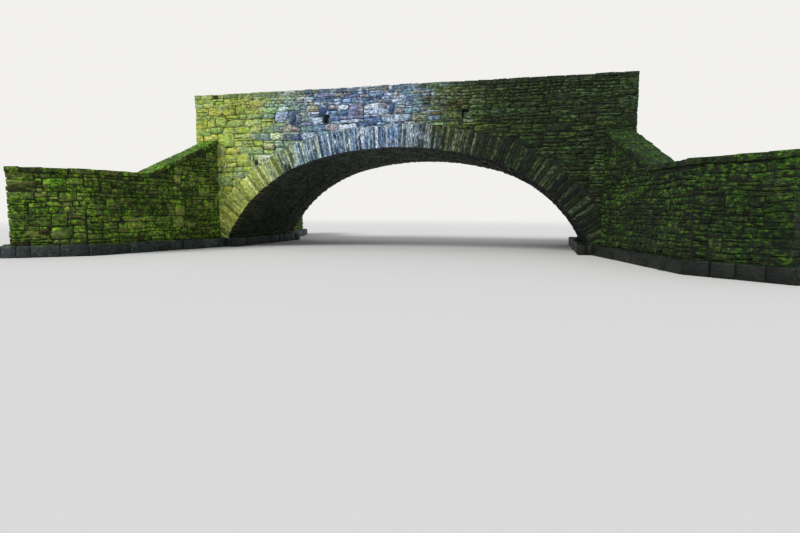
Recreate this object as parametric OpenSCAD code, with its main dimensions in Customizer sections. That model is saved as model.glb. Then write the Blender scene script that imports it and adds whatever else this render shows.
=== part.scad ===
// Single-span stone arch bridge with four flared wing walls, in millimetres.
// +X runs along the road, +Y across it and away from the front face, +Z up.
// The origin is under the middle of the span, level with the underside of the footings.

/* [Arch] */
// Clear span between the springings
clear_span = 10350; // [8500:50:12500]
// Height of the crown above the springings
rise = 2520; // [2100:20:3000]
// Height of the springings above the underside of the footings
springing_z = 330; // [280:10:600]
// Angle from the vertical at which the flat crown arc meets the tighter haunch arcs
crown_angle = 15.5; // [10:0.5:22]
// Angle from the vertical of the skewbacks, where the arch springs
springing_angle = 61.5; // [54:0.5:70]
// Length of the arch stones, from intrados to extrados
voussoir_len = 620; // [450:10:750]
// Depth of each face ring, measured into the vault
ring_depth = 450; // [350:10:650]

/* [Body] */
// Width of the bridge over its two faces
bridge_w = 4400; // [3400:50:6000]
// Thickness of each abutment behind its face to the opening
abutment_t = 965; // [880:5:1600]
// Thickness of the spandrel walls
spandrel_t = 450; // [350:10:650]
// Masonry above the crown of the arch, up to the foot of the parapets
crown_cover = 50; // [30:5:200]

/* [Road] */
// Thickness of the road surface along the parapets
road_edge_t = 40; // [30:5:120]
// Rise of the road surface from its edges to its middle
road_camber = 60; // [20:5:120]

/* [Parapets] */
// Height of a parapet under its coping
parapet_h = 860; // [600:10:1200]
// Thickness of a parapet
parapet_t = 420; // [300:10:500]
// Thickness of the coping slabs
coping_t = 100; // [60:5:160]
// Overhang of the coping on both sides and at the ends
coping_over = 15; // [10:5:60]

/* [Road drains] */
// Distance of each drain outlet from the middle of the bridge
drain_x = 1950; // [1000:50:3000]
// Width of a drain outlet
drain_w = 180; // [100:10:250]
// Height of a drain outlet
drain_h = 220; // [100:10:250]
// Height of the outlet's sill above the foot of the parapet
drain_sill = 30; // [10:5:40]

/* [Footings] */
// Height of the footings
footing_h = 250; // [150:10:270]
// Projection of an abutment's footing into the opening
footing_out = 250; // [100:10:400]
// Projection of a wing wall's footing on both sides
wing_footing_out = 180; // [80:10:300]

/* [Wing walls] */
// Distance of a wing wall's open side from the abutment's face to the opening
wing_setback = 280; // [150:10:340]
// Thickness of the wing walls
wing_t = 600; // [450:10:620]
// Flare of a wing wall from a line square to the road
wing_angle = 16; // [5:1:20]
// Length of a wing wall along its open side, up to its bend
wing_len = 4000; // [3000:50:5000]
// Height of a wing wall at the bridge, under its coping
wing_high = 3060; // [2500:20:3300]
// Height of a wing wall at its low end, under its coping
wing_low = 1950; // [1400:10:2400]
// Length over which a wing wall's top comes down
wing_rake_len = 2300; // [1500:50:2800]
// Flare of the return beyond the bend, from a line square to the road
return_angle = 50; // [35:1:60]
// Length of the return
return_len = 1500; // [800:50:2500]
// Thickness of the coping slabs on wing walls and returns
wing_coping_t = 90; // [60:5:160]
// Overhang of that coping
wing_coping_over = 40; // [10:5:80]

/* [Hidden] */
$fn = 360;

// Colours as weathered slate, mossy rubble and road grit
SLATE = [0.46, 0.49, 0.50];
RUBBLE = [0.50, 0.50, 0.40];
MOSSY = [0.42, 0.44, 0.29];
DARK_VAULT = [0.22, 0.22, 0.20];
HEARTING = [0.47, 0.45, 0.40];
GRIT = [0.56, 0.53, 0.47];

// Half of the clear span, and the end of the bridge on each side
half_span = clear_span / 2;
end_x = half_span + abutment_t;
face_y = bridge_w / 2;
crown_z = springing_z + rise;
spandrel_top = crown_z + voussoir_len + crown_cover;
parapet_top = spandrel_top + parapet_h;
drain_z = spandrel_top + drain_sill;

// The crown arc and the haunch arcs are tangent where they meet. Their radii follow from the
// span and the rise, as the solution of two equations that are linear in the radii.
spread = sin(crown_angle) * (cos(crown_angle) - cos(springing_angle))
    - (1 - cos(crown_angle)) * (sin(springing_angle) - sin(crown_angle));
crown_r = (half_span * (cos(crown_angle) - cos(springing_angle))
    - rise * (sin(springing_angle) - sin(crown_angle))) / spread;
haunch_r = (rise * sin(crown_angle) - half_span * (1 - cos(crown_angle))) / spread;
crown_centre = [0, crown_z - crown_r];
haunch_centre = crown_centre + (crown_r - haunch_r) * [sin(crown_angle), cos(crown_angle)];

// The top of the skewback, at the extrados, is the level top of the abutment behind it
skewback_x = half_span + voussoir_len * sin(springing_angle);
skewback_z = springing_z + voussoir_len * cos(springing_angle);

// Plan of the right front wing: its open side starts at the face of the bridge
wing_root = [half_span + wing_setback, -face_y];
wing_bend = wing_root + wing_len * along(wing_angle);
wing_rake = (wing_high - wing_low) / wing_rake_len;
// Reach past the wing's root and bend, for cutting shapes
past = wing_t + 2 * wing_footing_out;

// Unit vector along a wall that is flared by an angle, and the one from its open side outwards
function along(angle) = [sin(angle), -cos(angle)];
function outward(angle) = [cos(angle), sin(angle)];

// Corners in plan of the wing, at a distance outwards from its open side
function root_corner(off) = wing_root + [off / cos(wing_angle), 0];
function bend_corner(off) = let(n = outward(wing_angle), m = outward(return_angle))
    wing_bend + off * (n + m) / (1 + n * m);
function end_corner(off, beyond) = wing_bend + (return_len + beyond) * along(return_angle)
    + off * outward(return_angle);

// Stands a shape drawn in X and Z up on the XZ plane, and extrudes it from y0 to y1
module upright(y0, y1) {
    translate([0, y1, 0]) rotate([90, 0, 0]) linear_extrude(y1 - y0) children();
}

// Mirrors a right front piece to one of the four corners
module corner(side, face) {
    mirror([side < 0 ? 1 : 0, 0, 0]) mirror([0, face > 0 ? 1 : 0, 0]) children();
}

// Filled outline of the three-centred arch, at a distance outside its intrados. The haunch
// circles are whole, and touch the crown arc from inside at both of its ends.
module arch_outline(off) {
    reach = 1.2 * (crown_r + off);
    intersection() {
        translate(crown_centre) circle(crown_r + off);
        translate(crown_centre) polygon([
            [0, 0],
            reach * [-sin(crown_angle), cos(crown_angle)],
            reach * [sin(crown_angle), cos(crown_angle)]
        ]);
    }
    for (side = [-1, 1]) translate([side * haunch_centre[0], haunch_centre[1]])
        circle(haunch_r + off);
}

// Ring of arch stones, cut square at both skewbacks
module arch_band() {
    reach = 2 * clear_span;
    foot = haunch_centre + reach * [sin(springing_angle), cos(springing_angle)];
    difference() {
        arch_outline(voussoir_len);
        arch_outline(0);
        polygon([
            [-foot[0], foot[1]],
            [-haunch_centre[0], haunch_centre[1]],
            haunch_centre,
            foot,
            [foot[0], -reach],
            [-foot[0], -reach]
        ]);
    }
}

// Right half of what stands between the extrados, the abutment and the foot of the parapet
module haunch_outline() {
    difference() {
        translate([0, skewback_z]) square([end_x, spandrel_top - skewback_z]);
        arch_outline(voussoir_len);
    }
}

module footing() {
    color(MOSSY) translate([half_span - footing_out, -face_y, 0])
        cube([abutment_t + footing_out, bridge_w, footing_h]);
}

// Abutment with its face to the opening, and its skewback square to the arch
module abutment() {
    color(RUBBLE) upright(-face_y, face_y) polygon([
        [half_span, footing_h],
        [end_x, footing_h],
        [end_x, skewback_z],
        [skewback_x, skewback_z],
        [half_span, springing_z]
    ]);
}

module arch_barrel() {
    color(DARK_VAULT) upright(ring_depth - face_y, face_y - ring_depth) arch_band();
}

module arch_ring_front() {
    color(SLATE) upright(-face_y, ring_depth - face_y) arch_band();
}

module spandrel() {
    color(RUBBLE) upright(-face_y, spandrel_t - face_y) haunch_outline();
}

module haunch_fill() {
    color(HEARTING) upright(spandrel_t - face_y, face_y - spandrel_t) haunch_outline();
}

// Road surface between the parapets, highest along its middle
module roadway() {
    edge_y = face_y - parapet_t;
    color(GRIT) translate([-end_x, 0, spandrel_top]) rotate([90, 0, 90])
        linear_extrude(2 * end_x) polygon([
            [-edge_y, 0],
            [edge_y, 0],
            [edge_y, road_edge_t],
            [0, road_edge_t + road_camber],
            [-edge_y, road_edge_t]
        ]);
}

// Front parapet, with the two outlets that drain the road
module parapet_front() {
    color(RUBBLE) difference() {
        translate([-end_x, -face_y, spandrel_top]) cube([2 * end_x, parapet_t, parapet_h]);
        for (x = [-drain_x, drain_x])
            translate([x - drain_w / 2, -face_y - drain_w, drain_z])
                cube([drain_w, parapet_t + 2 * drain_w, drain_h]);
    }
}

module coping_front() {
    color(SLATE) translate([-end_x - coping_over, -face_y - coping_over, parapet_top])
        cube([2 * (end_x + coping_over), parapet_t + 2 * coping_over, coping_t]);
}

// Side view of a wing wall between two levels above its sloping top line, seen along the wall
// from its root. The line runs down to the low level and then stays level.
module wing_profile(below, above) {
    function top_at(s) = max(wing_low, wing_high - wing_rake * s);
    line = [for (s = [-past, wing_rake_len, wing_len + past]) [s, top_at(s)]];
    polygon(concat(
        [for (p = line) [p[0], p[1] + above]],
        below == undef
            ? [[wing_len + past, footing_h], [-past, footing_h]]
            : [for (i = [2:-1:0]) [line[i][0], line[i][1] + below]]
    ));
}

// Stands that side view up along the wing, wide enough for its footing
module along_wing(below, above) {
    translate([wing_root[0], wing_root[1], 0]) rotate([0, 0, wing_angle - 90])
        translate([0, past, 0]) rotate([90, 0, 0]) linear_extrude(2 * past)
            wing_profile(below, above);
}

module wing_plan(near_off, far_off) {
    polygon([root_corner(near_off), bend_corner(near_off),
             bend_corner(far_off), root_corner(far_off)]);
}

module return_plan(near_off, far_off, beyond) {
    polygon([bend_corner(near_off), end_corner(near_off, beyond),
             end_corner(far_off, beyond), bend_corner(far_off)]);
}

module wing_footing() {
    color(MOSSY) linear_extrude(footing_h) {
        wing_plan(-wing_footing_out, wing_t + wing_footing_out);
        return_plan(-wing_footing_out, wing_t + wing_footing_out, wing_footing_out);
    }
}

module wing_wall() {
    color(MOSSY) intersection() {
        linear_extrude(2 * wing_high) wing_plan(0, wing_t);
        along_wing(undef, 0);
    }
}

module wing_coping() {
    color(SLATE) intersection() {
        linear_extrude(2 * wing_high) wing_plan(-wing_coping_over, wing_t + wing_coping_over);
        along_wing(0, wing_coping_t);
    }
}

module return_wall() {
    color(MOSSY) translate([0, 0, footing_h]) linear_extrude(wing_low - footing_h)
        return_plan(0, wing_t, 0);
}

module return_coping() {
    color(SLATE) translate([0, 0, wing_low]) linear_extrude(wing_coping_t)
        return_plan(-wing_coping_over, wing_t + wing_coping_over, wing_coping_over);
}

corner(-1, -1) footing();  // footing_left
corner(1, -1) footing();  // footing_right
corner(-1, -1) abutment();  // abutment_left
corner(1, -1) abutment();  // abutment_right
arch_barrel();
arch_ring_front();
corner(1, 1) arch_ring_front();  // arch_ring_back
corner(-1, -1) spandrel();  // spandrel_front_left
corner(1, -1) spandrel();  // spandrel_front_right
corner(-1, 1) spandrel();  // spandrel_back_left
corner(1, 1) spandrel();  // spandrel_back_right
corner(-1, -1) haunch_fill();  // haunch_fill_left
corner(1, -1) haunch_fill();  // haunch_fill_right
roadway();
parapet_front();
corner(1, 1) parapet_front();  // parapet_back
coping_front();
corner(1, 1) coping_front();  // coping_back
corner(-1, -1) wing_footing();  // wing_footing_front_left
corner(1, -1) wing_footing();  // wing_footing_front_right
corner(-1, 1) wing_footing();  // wing_footing_back_left
corner(1, 1) wing_footing();  // wing_footing_back_right
corner(-1, -1) wing_wall();  // wing_wall_front_left
corner(1, -1) wing_wall();  // wing_wall_front_right
corner(-1, 1) wing_wall();  // wing_wall_back_left
corner(1, 1) wing_wall();  // wing_wall_back_right
corner(-1, -1) wing_coping();  // wing_coping_front_left
corner(1, -1) wing_coping();  // wing_coping_front_right
corner(-1, 1) wing_coping();  // wing_coping_back_left
corner(1, 1) wing_coping();  // wing_coping_back_right
corner(-1, -1) return_wall();  // return_wall_front_left
corner(1, -1) return_wall();  // return_wall_front_right
corner(-1, 1) return_wall();  // return_wall_back_left
corner(1, 1) return_wall();  // return_wall_back_right
corner(-1, -1) return_coping();  // return_coping_front_left
corner(1, -1) return_coping();  // return_coping_front_right
corner(-1, 1) return_coping();  // return_coping_back_left
corner(1, 1) return_coping();  // return_coping_back_right
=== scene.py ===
import itertools
import math

import bpy
import numpy as np
from mathutils import Matrix, Vector


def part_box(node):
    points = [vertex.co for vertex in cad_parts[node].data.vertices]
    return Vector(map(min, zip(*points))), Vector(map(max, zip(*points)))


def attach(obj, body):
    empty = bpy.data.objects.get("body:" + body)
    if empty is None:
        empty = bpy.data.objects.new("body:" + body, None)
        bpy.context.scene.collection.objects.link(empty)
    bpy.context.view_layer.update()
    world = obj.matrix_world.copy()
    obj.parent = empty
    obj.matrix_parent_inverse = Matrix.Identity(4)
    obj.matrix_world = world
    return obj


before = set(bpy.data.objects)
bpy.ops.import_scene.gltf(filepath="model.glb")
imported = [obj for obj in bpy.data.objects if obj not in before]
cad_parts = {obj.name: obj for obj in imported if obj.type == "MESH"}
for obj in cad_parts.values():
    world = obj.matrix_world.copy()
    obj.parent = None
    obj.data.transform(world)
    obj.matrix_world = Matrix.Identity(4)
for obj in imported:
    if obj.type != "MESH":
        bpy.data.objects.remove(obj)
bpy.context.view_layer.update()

# The stone arch bridge's looks, in metres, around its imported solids. The solids stay in view as
# the mortar core. Every stone is a closed mesh that stands a little proud of that core.


# Sizes, read from the frame or the same as in the part's source

RING = 0.62
CROWN_ANGLE = math.radians(15.5)
SPRINGING_ANGLE = math.radians(61.5)
RING_DEPTH = 0.45
WING_THICK = 0.6
WING_ANGLE = math.radians(16)
WING_LENGTH = 4.0
WING_RAKE = 2.3
RETURN_ANGLE = math.radians(50)
RETURN_LENGTH = 1.5
WING_FOOT_OUT = 0.18
COPING_OVER = 0.015
DRAIN_X = 1.95
DRAIN_WIDE = 0.18
DRAIN_HIGH = 0.22
DRAIN_SILL = 0.03
ROAD_EDGE = 0.04
ROAD_CAMBER = 0.06

HALF_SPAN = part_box("abutment_right")[0].x
END_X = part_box("abutment_right")[1].x
FACE_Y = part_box("arch_ring_back")[1].y
SKEWBACK_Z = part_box("abutment_right")[1].z
CROWN_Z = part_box("arch_barrel")[1].z - RING
SPRINGING_Z = SKEWBACK_Z - RING * math.cos(SPRINGING_ANGLE)
PARAPET_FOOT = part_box("parapet_front")[0].z
PARAPET_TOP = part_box("parapet_front")[1].z
PARAPET_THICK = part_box("parapet_front")[1].y + FACE_Y
COPING_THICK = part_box("coping_front")[1].z - PARAPET_TOP
FOOTING_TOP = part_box("footing_right")[1].z
FOOTING_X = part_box("footing_right")[0].x
WING_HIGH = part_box("wing_wall_front_right")[1].z
WING_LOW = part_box("return_wall_front_right")[1].z
WING_ROOT = np.array([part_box("wing_wall_front_right")[0].x, -FACE_Y])
WING_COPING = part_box("return_coping_front_right")[1].z - WING_LOW

RISE = CROWN_Z - SPRINGING_Z
SPREAD = (math.sin(CROWN_ANGLE) * (math.cos(CROWN_ANGLE) - math.cos(SPRINGING_ANGLE))
          - (1 - math.cos(CROWN_ANGLE)) * (math.sin(SPRINGING_ANGLE) - math.sin(CROWN_ANGLE)))
CROWN_R = (HALF_SPAN * (math.cos(CROWN_ANGLE) - math.cos(SPRINGING_ANGLE))
           - RISE * (math.sin(SPRINGING_ANGLE) - math.sin(CROWN_ANGLE))) / SPREAD
HAUNCH_R = (RISE * math.sin(CROWN_ANGLE) - HALF_SPAN * (1 - math.cos(CROWN_ANGLE))) / SPREAD
CROWN_CENTRE = np.array([0, CROWN_Z - CROWN_R])
HAUNCH_CENTRE = CROWN_CENTRE + (CROWN_R - HAUNCH_R) * np.array(
    [math.sin(CROWN_ANGLE), math.cos(CROWN_ANGLE)])
HALF_CROWN_ARC = CROWN_R * CROWN_ANGLE
HALF_ARC = HALF_CROWN_ARC + HAUNCH_R * (SPRINGING_ANGLE - CROWN_ANGLE)


# Nodes

# The nodes used most: a word for each, its type, settings, inputs in order, and output. A value
# is mapped smoothly from one range to another, one colour is layered over another as far as a
# cover says, and a mark is what the stones carry at each point.
USUAL = {
    "mapped": ("ShaderNodeMapRange", {"interpolation_type": "SMOOTHSTEP"}, (0, 1, 2, 3, 4), 0),
    "layered": ("ShaderNodeMix", {"data_type": "RGBA"}, (0, 6, 7), 2),
    "math": ("ShaderNodeMath", {}, (0, 1), 0),
    "mark": ("ShaderNodeAttribute", {}, (), "Fac"),
}


class Signal:
    """What a node gives out. Arithmetic on it adds the Math node for that step."""

    def __init__(self, socket):
        self.socket = socket
        self.tree = socket.id_data

    def __add__(self, other):
        return add(self.tree, "math", [self, other], operation="ADD")

    def __sub__(self, other):
        return add(self.tree, "math", [self, other], operation="SUBTRACT")

    def __rsub__(self, other):
        return add(self.tree, "math", [other, self], operation="SUBTRACT")

    def __mul__(self, other):
        return add(self.tree, "math", [self, other], operation="MULTIPLY")


def add(tree, kind, inputs=(), out=0, **settings):
    """Adds a node. Its settings are attributes, and its inputs are values or signals, by name
    or in order. Gives one of its outputs, as a signal."""
    kind, usual, order, out = USUAL.get(kind, (kind, {}, range(3), out))
    made = tree.nodes.new(kind)
    for key, value in {**usual, **settings}.items():
        setattr(made, key, value)
    inputs = inputs if isinstance(inputs, dict) else dict(zip(order, inputs))
    for key, value in inputs.items():
        if isinstance(value, Signal):
            tree.links.new(value.socket, made.inputs[key])
        else:
            made.inputs[key].default_value = value
    return Signal(made.outputs[out]) if made.outputs else None


def linear(code):
    """An sRGB hex colour, such as 8a9a50, turned to linear."""
    values = [int(code[i:i + 2], 16) / 255 for i in (0, 2, 4)]
    return [v / 12.92 if v <= 0.04045 else ((v + 0.055) / 1.055) ** 2.4 for v in values] + [1]


def palette(factor, codes, steps=False):
    """A colour ramp: its hex colours spread evenly from 0 to 1, in steps or blended."""
    codes = codes.split()
    colour = add(factor.tree, "ShaderNodeValToRGB", [factor])
    ramp = colour.socket.node.color_ramp
    ramp.interpolation = "CONSTANT" if steps else "LINEAR"
    while len(ramp.elements) < len(codes):
        ramp.elements.new(0.5)
    for i, code in enumerate(codes):
        ramp.elements[i].position = i / (len(codes) - (0 if steps else 1))
        ramp.elements[i].color = linear(code)
    return colour


def cells(place, per_metre, detail=5.0, roughness=0.6, stretch=(1, 1, 1)):
    """Fractal noise with so many cells to the metre, along each axis."""
    scale = [per_metre * s for s in stretch]
    vector = add(place.tree, "ShaderNodeMapping", {"Vector": place, "Scale": scale})
    size = {"Scale": 1.0, "Detail": detail, "Roughness": roughness}
    return add(place.tree, "ShaderNodeTexNoise", {"Vector": vector, **size}, "Fac")


def facing_up(tree):
    """1 where the surface faces straight up, and -1 where it faces down."""
    normal = add(tree, "ShaderNodeNewGeometry", out="Normal")
    return add(tree, "ShaderNodeSeparateXYZ", [normal], "Z")


def new_material(name):
    """A material, its empty node tree, and the place of a point on the object."""
    material = bpy.data.materials.new(name)
    material.use_nodes = True
    tree = material.node_tree
    tree.nodes.clear()
    return material, tree, add(tree, "ShaderNodeTexCoord", out="Object")


def surface(tree, base, rough, height, depth, strength=1.0, specular=0.5, sunk=False):
    """The tree's output: a shader of this colour and roughness, with a bump as deep as this."""
    relief = {"Height": height, "Strength": strength, "Distance": depth}
    looks = {"Base Color": base, "Roughness": rough, "Specular IOR Level": specular,
             "Normal": add(tree, "ShaderNodeBump", relief, invert=sunk)}
    add(tree, "ShaderNodeOutputMaterial", [add(tree, "ShaderNodeBsdfPrincipled", looks)])


# Camera, lamps and floor

BACKGROUND = "f2f1ee"


def placed(name, data):
    """An object for the data, linked into the scene."""
    made = bpy.data.objects.new(name, data)
    bpy.context.scene.collection.objects.link(made)
    return made


def look(place, turn, pitch, roll, lens):
    """A camera that is level at pitch 0 and turned to the left of +Y by turn, in degrees."""
    data = bpy.data.cameras.new("camera")
    data.lens = lens
    data.sensor_width = 36
    camera = placed("camera", data)
    camera.matrix_world = (Matrix.Translation(place)
                           @ Matrix.Rotation(math.radians(turn), 4, "Z")
                           @ Matrix.Rotation(math.radians(90 + pitch), 4, "X")
                           @ Matrix.Rotation(math.radians(roll), 4, "Z"))
    bpy.context.scene.camera = camera


def sun(strength, width, toward):
    """A soft sun, width degrees across, that shines along the vector toward."""
    data = bpy.data.lights.new("key", "SUN")
    data.energy = strength
    data.angle = math.radians(width)
    lamp = placed("key", data)
    lamp.rotation_mode = "QUATERNION"
    lamp.rotation_quaternion = Vector(toward).to_track_quat("-Z", "Y")


def studio_sky(strength):
    """Even cool light from all round, in front of a plain background."""
    world = bpy.data.worlds.new("studio")
    bpy.context.scene.world = world
    world.use_nodes = True
    tree = world.node_tree
    tree.nodes.clear()
    in_view = add(tree, "ShaderNodeLightPath", out="Is Camera Ray")
    lit = add(tree, "ShaderNodeBackground", {"Color": linear("f4f7ff"), "Strength": strength})
    seen = add(tree, "ShaderNodeBackground", {"Color": linear(BACKGROUND), "Strength": 1.0})
    either = add(tree, "ShaderNodeMixShader", [in_view, lit, seen])
    add(tree, "ShaderNodeOutputWorld", [either])


def pale_floor(reach, fade):
    """A floor of matt paper, which fades into the background between two distances."""
    mesh = bpy.data.meshes.new("floor")
    mesh.from_pydata([(-reach, -reach, 0), (reach, -reach, 0), (reach, reach, 0),
                      (-reach, reach, 0)], [], [(0, 1, 2, 3)])
    paper, tree, place = new_material("matt paper")
    in_view = add(tree, "ShaderNodeLightPath", out="Is Camera Ray")
    away = add(tree, "ShaderNodeVectorMath", [place], "Value", operation="LENGTH")
    faded = add(tree, "mapped", [away, *fade]) * in_view
    matt = add(tree, "ShaderNodeBsdfDiffuse", {"Color": linear("dbd9d5")})
    plain = add(tree, "ShaderNodeEmission", {"Color": linear(BACKGROUND)})
    shader = add(tree, "ShaderNodeMixShader", [faded, matt, plain])
    add(tree, "ShaderNodeOutputMaterial", [shader])
    mesh.materials.append(paper)
    placed("floor", mesh)


look((3.91, -16.54, 1.1), turn=14.51, pitch=-5.93, roll=0.28, lens=24)
sun(strength=2.1, width=25, toward=(0.55, 0.75, -0.75))
studio_sky(strength=0.65)
pale_floor(reach=300.0, fade=(14.0, 60.0))
bpy.context.scene.view_settings.view_transform = "Standard"


# Materials

# The bridge is mossy at its left end, where painted sunlight also brightens its colours, bare
# slate in the middle, and dark at its right end, where its colours are darkened as painted shade
# of the trees. Each stretch begins at the first X and is full at the second.
MOSSY_SUNLIT_LEFT = (-1.8, -5.2)
SHADED_RIGHT = (0.3, 1.5)
PAINTED_SHADE_END = (0.5, 3.1)
# Painted shade of the trees, by which every colour in the painted shade end is multiplied
DEEP_SHADE = "73866a"
LIME = "b9c6cf"
# Wheels run this far from the middle of the road
WHEEL_TRACK = 0.72


def stretches(place):
    """How far a point lies in the mossy left, which is brightened as painted sunlight, in the
    right, which is darkened as painted shade, and in the painted shade end, where a colour is
    multiplied by the deep painted shade of the trees. The limits of the first two wander by
    noise, and from stone to stone."""
    tree = place.tree
    x = add(tree, "ShaderNodeSeparateXYZ", [place], "X")
    moved = (cells(place, 0.7, 3.0) - 0.5) * 2.4 + x + add(tree, "mark", attribute_name="shift")
    return [add(tree, "mapped", [value, *limits]) for value, limits in (
        (moved, MOSSY_SUNLIT_LEFT), (moved, SHADED_RIGHT), (x, PAINTED_SHADE_END))]


def by_stretch(factor, is_left, is_right, codes, steps=False):
    """The palettes of the left, the middle and the right, each on its own stretch."""
    left, middle, right = [palette(factor, row, steps) for row in codes]
    base = add(factor.tree, "layered", [is_left, middle, left])
    return add(factor.tree, "layered", [is_right, base, right])


def weathered_stone(name, left, middle, right, moss, lime, contrast=1.0, laminae=45.0,
                    gloom=0.75, wet=0.0, greens="5c7014 96a62a c4c448", edge=0.12):
    """Slate and greywacke, split by hand and weathered outdoors. It is matt, laminated along
    the stone at 1000 / laminae mm, stained in patches of about 100 mm, with moss in patches of
    400 mm and on what faces up, pale flecks of lichen 10 to 30 mm across, and lime washed out
    of the joints and over the edges. left, middle and right are colours of its stones. moss is
    how much more grows on the left, everywhere, and on the right. gloom is the shade of its
    darkest patches, wet is how much smoother it is than dry stone, and edge is how much more
    lime there is on its edges."""
    material, tree, place = new_material(name)
    grain = add(tree, "ShaderNodeUVMap", uv_map="grain")
    tint, rim, painted_shade = [add(tree, "mark", attribute_name=key) for key in ("tint", "rim", "painted_shade")]
    is_left, is_right, in_painted_shade = stretches(place)
    patches = cells(place, 2.4, 6.0, 0.65)
    stains = cells(place, 10.0, 6.0, 0.72)
    fine = cells(place, 45.0, 4.0, 0.7)
    layers = cells(grain, 1.0, 4.0, 0.65, (3.5, laminae, 1.0))

    base = by_stretch(tint, is_left, is_right, (left, middle, right), steps=True)
    # The streaks stand out more in the painted shade end, and less on the left
    strength = in_painted_shade * (0.45 * contrast) + (is_left * (-0.35 * contrast) + contrast)
    grey = add(tree, "mapped", [layers * 0.5 + stains * 0.5, 0.39, 0.62, 0.12, 0.95])
    base = add(tree, "layered", [strength * 0.75, base, grey], blend_type="OVERLAY")

    run = patches * 0.9 + (rim * edge + layers * 0.35)
    either_end = add(tree, "math", [is_left, is_right], operation="MAXIMUM")
    run = add(tree, "mapped", [run, 0.67, 0.80, 0.0, lime]) * (1.0 - either_end * 0.75)
    base = add(tree, "layered", [run, base, linear(LIME)])

    spots = add(tree, "ShaderNodeTexVoronoi", {"Vector": place, "Scale": 26.0}, "Distance")
    flecks = add(tree, "mapped", [(fine - 0.5) * 0.9 + spots, 0.30, 0.18, 0.0, lime])
    flecks = flecks * add(tree, "mapped", [stains, 0.46, 0.56]) * (1.0 - is_right)
    lichen = add(tree, "layered", [is_left, linear("c2cdd0"), linear("b9c08e")])
    base = add(tree, "layered", [flecks, base, lichen])

    upward = add(tree, "math", [facing_up(tree), 0.0], operation="MAXIMUM")
    green = is_right * moss[2] + (is_left * moss[0] + moss[1])
    green = green + upward * 0.22 + patches * 0.6 + stains * 0.5
    cover = add(tree, "mapped", [green, 0.70, 0.92, 0.0, 0.85])
    cushions = palette(add(tree, "mapped", [stains, 0.34, 0.66]), greens)
    base = add(tree, "layered", [cover, base, cushions])

    long_cells = cells(grain, 1.0, 2.0, 0.6, (10, 24, 1))
    streaks = add(tree, "mapped", [long_cells, 0.35, 0.65, -0.6, 0.65])
    shade = add(tree, "mapped", [cells(place, 1.4, 4.0), 0.36, 0.66, gloom, 1.06])
    shade = shade * (streaks * strength + 1.0)
    shade = shade * add(tree, "mapped", [fine, 0.34, 0.66, 0.62, 1.42])
    # Painted shade: where the stones are marked 1, in hollows and under the ring, they are darkened
    # to 6%
    shade = shade * add(tree, "mapped", [painted_shade, 0.0, 1.0, 1.0, 0.06])
    base = add(tree, "layered", [1.0, base, shade], blend_type="MULTIPLY")
    # Painted shade of the trees: the right end is multiplied by the deep green of DEEP_SHADE
    base = add(tree, "layered", [in_painted_shade, base, linear(DEEP_SHADE)], blend_type="MULTIPLY")

    rough = add(tree, "mapped", [patches, 0.3, 0.7, 0.74 - wet, 0.96 - wet])
    surface(tree, base, rough, layers * 0.7 + stains * 0.6 + fine * 0.25, 0.02, specular=0.3)
    return material


def old_mortar(name, left, middle, right):
    """Lime and sand mortar, raked out by the weather. It is grainy, dark where it is deep,
    damp or mossy, and pale where lime has come to its face. Where it faces down it is darkened
    as painted shade, and at the right end as painted shade of the trees."""
    material, tree, place = new_material(name)
    is_left, is_right, in_painted_shade = stretches(place)
    patches = add(tree, "mapped", [cells(place, 3.0, 6.0, 0.7), 0.33, 0.67])
    base = by_stretch(patches, is_left, is_right, (left, middle, right))
    # Painted shade: faces that look down are darkened to 14%
    under = add(tree, "mapped", [facing_up(tree), -0.4, -0.1, 0.14, 1.0])
    base = add(tree, "layered", [1.0, base, under], blend_type="MULTIPLY")
    # Painted shade of the trees: the right end is multiplied by the deep green of DEEP_SHADE
    base = add(tree, "layered", [in_painted_shade, base, linear(DEEP_SHADE)], blend_type="MULTIPLY")
    surface(tree, base, 0.95, cells(place, 80.0, 3.0), 0.01, strength=0.8)
    return material


def road_gravel():
    """Crushed slate, rolled into a road: matt grit of 10 to 30 mm, paler where wheels have
    worn it, and darker along the middle and the edges."""
    material, tree, place = new_material("rolled slate gravel")
    across = add(tree, "ShaderNodeSeparateXYZ", [place], "Y")
    aside = add(tree, "math", [across], operation="ABSOLUTE")
    off_track = add(tree, "math", [aside - WHEEL_TRACK], operation="ABSOLUTE")
    worn = add(tree, "mapped", [cells(place, 1.5) * 0.5 - off_track, -0.15, 0.2])
    chips = add(tree, "ShaderNodeTexVoronoi", {"Vector": place, "Scale": 55.0}, "Color")
    shade = add(tree, "ShaderNodeSeparateColor", [chips])
    base = add(tree, "layered", [worn, palette(shade, "4f5048 6f6c5e 837c6a 5e6468"),
                                 palette(shade, "7d7a70 98938a a8a294 8a8f92")])
    height = Signal(chips.socket.node.outputs["Distance"])
    surface(tree, base, 0.92, height, 0.008, strength=0.9, sunk=True)
    return material


# Walls and parapets: every stone its own colour, with lime on the slate in the middle
FACE_STONE = weathered_stone(
    "weathered rubble",
    "9dbb59 8cab5c b2c05e 86a454 a3bd67 b6b85b 93af6d b7cc77 93ab76 a2c14c",
    "6a88a6 acbfd4 3a527a 90a4ba 8088aa 8e8a90 70909e c8d4e2 506a90 7a9cc0",
    "5e723f 4c572a 67723b 667c4c 5a5730 5a6c39 697437 3c4b23 738359 505d28",
    moss=(0.30, -0.08, 0.04), lime=0.85, gloom=0.82, greens="75862c 9daa36 bfbc44")
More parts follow.
